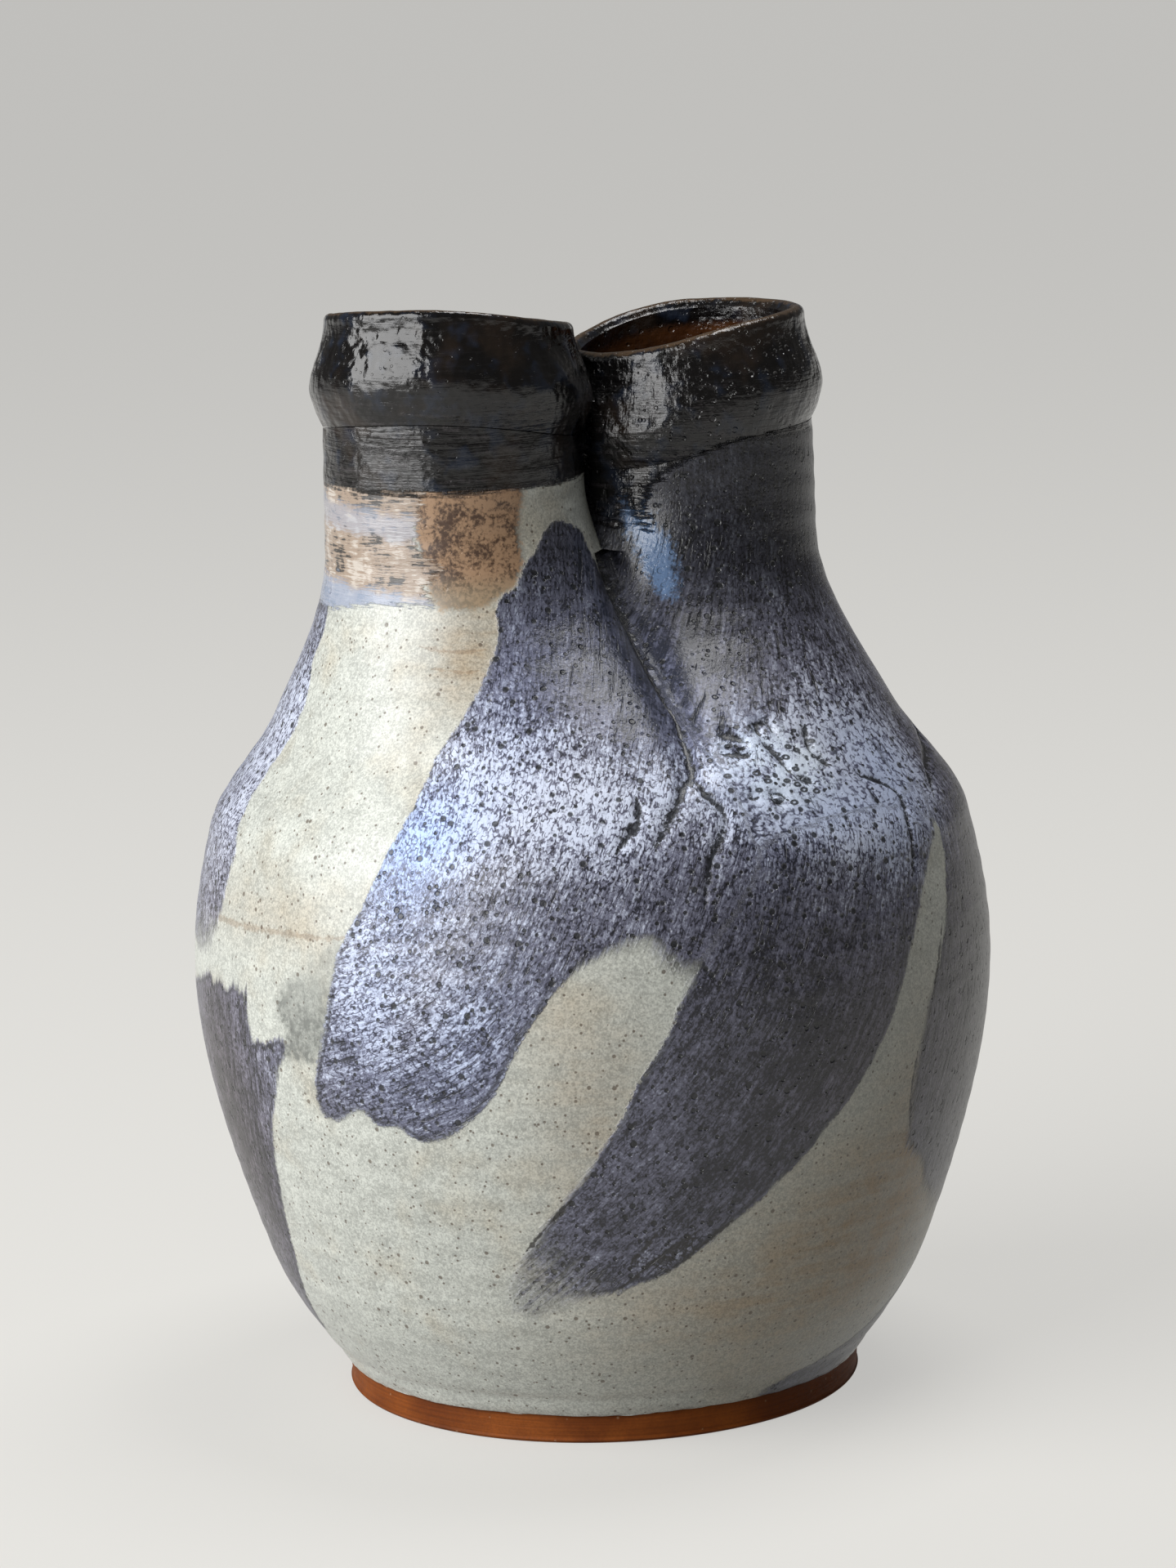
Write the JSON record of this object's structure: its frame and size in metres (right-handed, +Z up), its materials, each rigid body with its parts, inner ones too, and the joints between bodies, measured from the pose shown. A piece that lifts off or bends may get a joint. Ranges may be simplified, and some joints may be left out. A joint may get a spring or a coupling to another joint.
{
  "type": "double-neck vase",
  "caption": "Round-bellied stoneware vase whose neck is pinched front and back into two collared mouths side by side, on a bare turned foot.",
  "frame": {"origin": "centre of the foot, on the surface that the vase stands on", "axes": "+Z up; X runs from the left neck (-X) to the right neck (+X); the front crease faces -Y"},
  "size_m": [0.1934, 0.1934, 0.2662],
  "materials": {
    "bare_clay": "unglazed fired stoneware, matt and slightly sandy",
    "celadon_glaze": "pale grey-green satin glaze with fine iron specks",
    "slate_glaze": "broad brushed slate-blue glaze with pinholes and crackle",
    "tenmoku_glaze": "thick glossy black-brown glaze on the collars"
  },
  "bodies": {
    "root": {"foot": "bare_clay", "lower_body": "celadon_glaze", "upper_body": "slate_glaze", "left_neck": "slate_glaze", "right_neck": "slate_glaze", "left_rim": "tenmoku_glaze", "right_rim": "tenmoku_glaze"}
  },
  "joints": []
}
